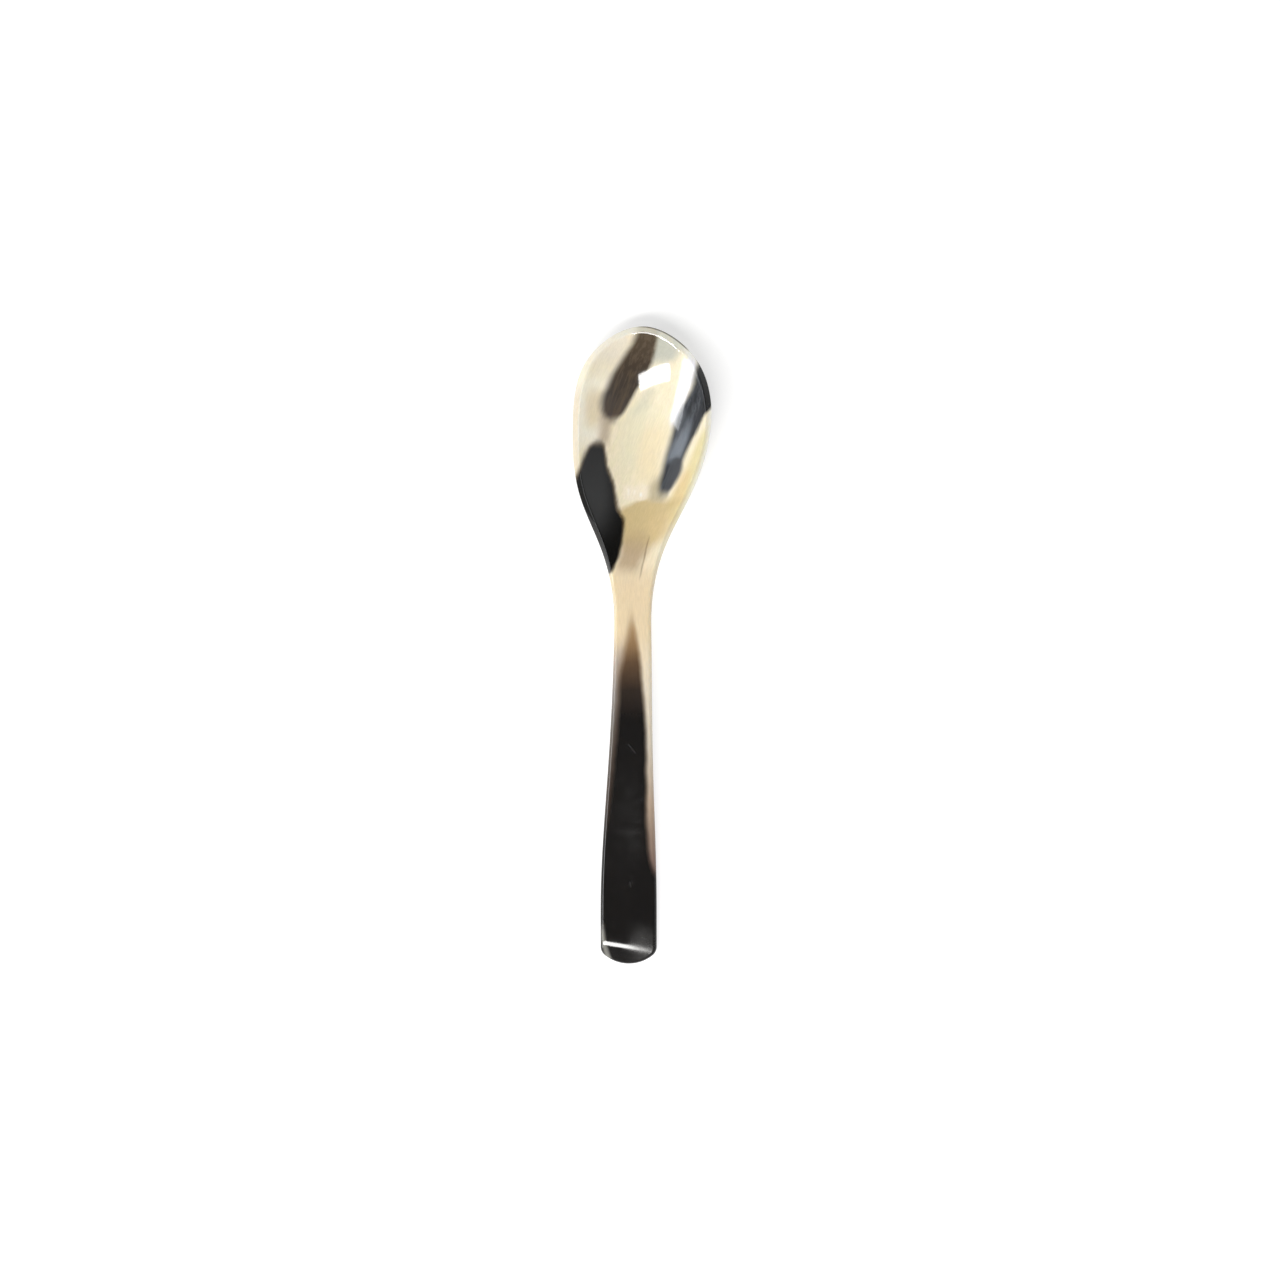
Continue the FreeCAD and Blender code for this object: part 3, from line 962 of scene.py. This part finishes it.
def pale_ground(horn):
    """Pale horn of the bowl and neck, with its marks, among them painted reflections, painted sparkles and
    painted shade.
    """
    nodes = horn.nodes
    color = nodes.mix(nodes.ramp(horn.strands, *PALE_STRANDS), tone(*PALE_HORN[0]), tone(*PALE_HORN[1]))
    color = nodes.mix(nodes.row_ramp(horn.y, NECK_ROWS), color, tone(*NECK_HORN))
    return horn.marked(color, horn.bowl_x, horn.moved_y, PALE_MARKS_AND_PAINTED_LIGHT)


def with_rim_light(horn, color):
    """Light comes through the thin rim: it glows at the sides and is glassy grey at the tip."""
    nodes = horn.nodes
    by_side = nodes.column_ramp(horn.x, GLOW_COLUMNS, LEFT_GLOW, 1.0)
    glow = nodes.times(nodes.ramp(horn.from_edge, *GLOW_REACH), nodes.row_ramp(horn.y, GLOW_ROWS), by_side)
    color = nodes.mix(glow, color, tone(*GLOW_TONE))
    # Painted shade on the rim band at the left
    on_left = nodes.column_ramp(horn.x, LEFT_BAND_COLUMNS)
    under_tip = nodes.row_ramp(horn.y, LEFT_BAND_ROWS)
    left_band_shade = nodes.times(on_left, under_tip, horn.on_band, LEFT_BAND_STRENGTH)
    color = nodes.mix(left_band_shade, color, tone(*LEFT_BAND_PAINTED_SHADE))
    glassy = nodes.times(horn.on_band, horn.patch(horn.x, horn.y, *GLASSY_TIP), GLASSY_STRENGTH)
    color = nodes.mix(glassy, color, tone(*GLASSY_TONE))
    near_edge = nodes.ramp(horn.from_edge, *OUTER_LINE_REACH)
    line = nodes.times(near_edge, horn.patch(horn.x, horn.y, *OUTER_LINE), OUTER_LINE_STRENGTH)
    return nodes.mix(line, color, tone(*OUTER_LINE_TONE))


def with_brown_streak(horn, color):
    """Brown streak, faint on the glassy rim."""
    nodes = horn.nodes
    off_band = nodes.math("SUBTRACT", 1.0, horn.on_band)
    kept = nodes.math("ADD", nodes.times(off_band, 1.0 - BROWN_ON_RIM), BROWN_ON_RIM)
    strand = nodes.ramp(horn.strands, *BROWN_STRANDS, 0.0, BROWN_STRAND_STRENGTH)
    brown = nodes.mix(strand, horn.along_rows(BROWN_TONES), tone(*BROWN_STRAND_TONE))
    return nodes.mix(nodes.times(horn.bowl_patch(*BROWN_STREAK), kept, BROWN_STRENGTH), color, brown)


def with_black_patch(horn, color):
    """Black patch on the left, with an amber fringe."""
    nodes = horn.nodes
    fringe = horn.bowl_patch(grown(BLACK_PATCH[0], FRINGE_GROWTH), FRINGE_SOFT, FRINGE_ENDS)
    color = nodes.mix(nodes.times(fringe, FRINGE_STRENGTH), color, tone(*FRINGE_TONE))
    return nodes.mix(horn.bowl_patch(*BLACK_PATCH), color, tone(*DARK_HORN))


def with_blue_streak(horn, color):
    """Blue-grey streak on the right, made of strands and black at the rim."""
    nodes = horn.nodes
    blue = nodes.mix(nodes.ramp(horn.strands, *BLUE_STRANDS), tone(*BLUE_TONES[0]), tone(*BLUE_TONES[1]))
    blue = horn.marked(blue, horn.bowl_x, horn.moved_y, BLUE_MARKS)
    rim_black = nodes.math("MAXIMUM", nodes.column_ramp(horn.x, RIM_BLACK_COLUMNS), horn.on_band)
    blue = nodes.mix(nodes.times(rim_black, RIM_BLACK_STRENGTH), blue, tone(*DARK_HORN))
    color = nodes.mix(horn.bowl_patch(*BLUE_STREAK), color, blue)
    return horn.marked(color, horn.bowl_x, horn.moved_y, (BLUE_BLOB,))


def with_handle(horn, color):
    """A dark core between margins that darken towards the end."""
    nodes = horn.nodes
    left_margin = horn.along_rows(LEFT_MARGIN_TONES)
    right_margin = horn.along_rows(RIGHT_MARGIN_TONES)
    margin = nodes.mix(nodes.column_ramp(horn.x, MARGIN_COLUMNS), left_margin, right_margin)
    color = nodes.mix(nodes.row_ramp(horn.y, MARGIN_ROWS), color, margin)
    skin_rows = grown(HANDLE_CORE[0], SKIN_GROWTH)
    skin = horn.patch(horn.handle_x, horn.moved_y, skin_rows, SKIN_SOFT, SKIN_ENDS)
    color = nodes.mix(nodes.times(skin, SKIN_STRENGTH), color, horn.along_rows(SKIN_TONES))
    core = horn.patch(horn.handle_x, horn.moved_y, *HANDLE_CORE)
    color = nodes.mix(core, color, horn.along_rows(CORE_TONES))
    return horn.marked(color, horn.x, horn.y, HANDLE_MARKS_AND_REFLECTION)


def with_grain(horn, color):
    """Faint streaks of the grain over everything."""
    nodes = horn.nodes
    scale = nodes.new("ShaderNodeVectorMath")
    scale.operation = "SCALE"
    nodes.put(scale.inputs[0], color)
    nodes.put(scale.inputs["Scale"], nodes.ramp(horn.fine_grain, *GRAIN_STRANDS, *GRAIN_LIGHT))
    return scale.outputs[0]


def horn_roughness(horn):
    """High polish with slight wear, and a duller right side of the nose."""
    nodes = horn.nodes
    wear = horn.grain(horn.x, 1.0, WEAR_NOISE)
    worn = nodes.times(
        nodes.row_ramp(horn.y, WORN_ROWS),
        nodes.column_ramp(horn.x, WORN_COLUMNS, *WORN_ROUGHNESS),
    )
    return nodes.math("ADD", nodes.ramp(wear, *WEAR_FADE, *POLISH), worn)


def horn_material():
    material = bpy.data.materials.new("polished_horn")
    material.use_nodes = True
    nodes = Nodes(material.node_tree)
    horn = Horn(nodes)
    color = pale_ground(horn)
    layers = (
        with_rim_light,
        with_brown_streak,
        with_black_patch,
        with_blue_streak,
        with_handle,
        with_grain,
    )
    for layer in layers:
        color = layer(horn, color)
    bump = nodes.new("ShaderNodeBump")
    bump.inputs["Strength"].default_value = BUMP_STRENGTH
    bump.inputs["Distance"].default_value = BUMP_HEIGHT
    nodes.put(bump.inputs["Height"], horn.fine_grain)
    shader = nodes.new("ShaderNodeBsdfPrincipled")
    for name, value in HORN_SURFACE.items():
        shader.inputs[name].default_value = value
    nodes.put(shader.inputs["Base Color"], color)
    nodes.put(shader.inputs["Roughness"], horn_roughness(horn))
    nodes.put(shader.inputs["Normal"], bump.outputs["Normal"])
    nodes.put(nodes.new("ShaderNodeOutputMaterial").inputs["Surface"], shader.outputs[0])
    return material


spoon.data.materials.append(horn_material())

bpy.context.scene.view_settings.view_transform = "Standard"
